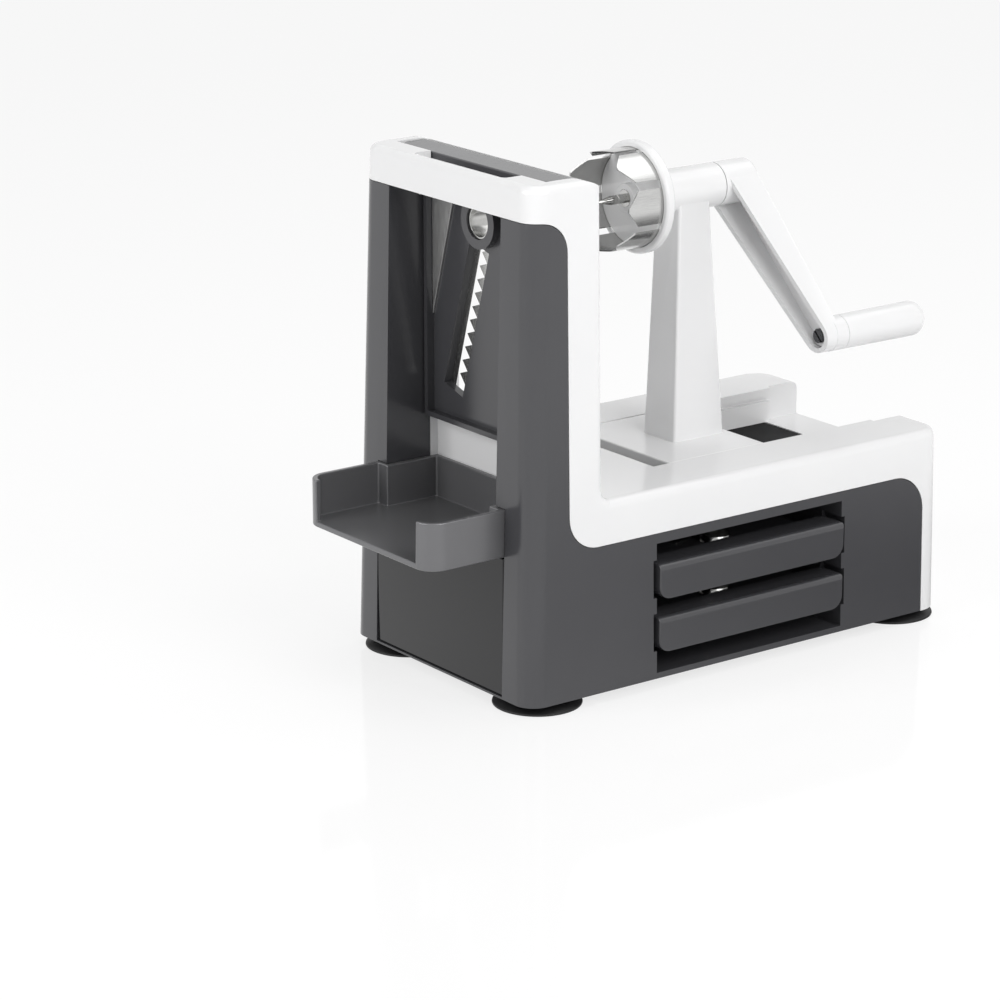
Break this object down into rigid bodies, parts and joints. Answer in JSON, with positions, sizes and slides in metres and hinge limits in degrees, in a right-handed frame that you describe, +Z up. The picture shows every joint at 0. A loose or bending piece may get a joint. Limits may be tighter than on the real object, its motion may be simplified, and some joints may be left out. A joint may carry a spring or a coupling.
{
  "type": "tabletop spiralizer with crank",
  "caption": "Tabletop vegetable spiralizer: a white and grey base with a blade tower, a sliding carriage with a cranked toothed disc, a strand chute, suction feet and stored blade cassettes.",
  "frame": {"origin": "middle of the footprint of the whole object, on the surface that the feet stand on", "axes": "+X along the base from the strand chute to the crank, +Y across the base towards the side without the cassette store, +Z up"},
  "size_m": [0.2968, 0.1426, 0.2425],
  "materials": {
    "white_abs": "glossy moulded ABS",
    "grey_abs": "satin moulded ABS, dark grey",
    "gloss_dark_abs": "polished dark grey ABS",
    "silver_grey_abs": "semi-gloss silver grey ABS",
    "cassette_abs": "satin moulded ABS, dark grey",
    "bearing_plastic": "natural acetal",
    "steel": "stamped stainless steel",
    "foot_rubber": "black moulded rubber"
  },
  "bodies": {
    "base": {"housing": "grey_abs", "cover": "white_abs", "floor_plate": "grey_abs", "front_panel": "gloss_dark_abs", "strand_chute": "silver_grey_abs", "foot_front_near": "foot_rubber", "foot_front_far": "foot_rubber", "foot_rear_near": "foot_rubber", "foot_rear_far": "foot_rubber"},
    "cassette_a": {"blade_frame_a": "cassette_abs", "finger_lip_a": "cassette_abs", "guide_plate_a": "steel", "slicing_blade_a": "steel", "comb_blade_a": "steel", "core_ring_a": "steel", "blade_rivets_a": "steel"},
    "cassette_b": {"blade_frame_b": "cassette_abs", "finger_lip_b": "cassette_abs", "guide_plate_b": "steel", "slicing_blade_b": "steel", "comb_blade_b": "steel", "core_ring_b": "steel", "blade_rivets_b": "steel"},
    "cassette_c": {"blade_frame_c": "cassette_abs", "finger_lip_c": "cassette_abs", "guide_plate_c": "steel", "slicing_blade_c": "steel", "core_ring_c": "steel", "blade_rivets_c": "steel"},
    "carriage": {"carriage": "white_abs", "bush_front": "bearing_plastic", "bush_rear": "bearing_plastic"},
    "crank": {"crank_shaft": "steel", "prong_disc": "white_abs", "tooth_crown": "steel", "centre_spike": "steel", "crank_arm": "white_abs", "grip_axle": "steel"},
    "grip": {"crank_grip": "white_abs"}
  },
  "joints": [
    {"name": "carriage_slide", "type": "slide", "parent": "base", "child": "carriage", "axis": [1, 0, 0], "range_m": [-0.0097, 0.0697]},
    {"name": "crank_spin", "type": "hinge", "parent": "carriage", "child": "crank", "pos_m": [0.0316, 0, 0.214], "axis": [1, 0, 0], "continuous": true},
    {"name": "grip_spin", "type": "hinge", "parent": "crank", "child": "grip", "pos_m": [0.1026, -0.06294, 0.15106], "axis": [1, 0, 0], "continuous": true},
    {"name": "cassette_lift_a", "type": "slide", "parent": "base", "child": "cassette_a", "axis": [0, 0, 1], "range_m": [0, 0.09]},
    {"name": "cassette_pull_b", "type": "slide", "parent": "base", "child": "cassette_b", "axis": [0, -1, 0], "range_m": [0, 0.09]},
    {"name": "cassette_pull_c", "type": "slide", "parent": "base", "child": "cassette_c", "axis": [0, -1, 0], "range_m": [0, 0.09]}
  ]
}
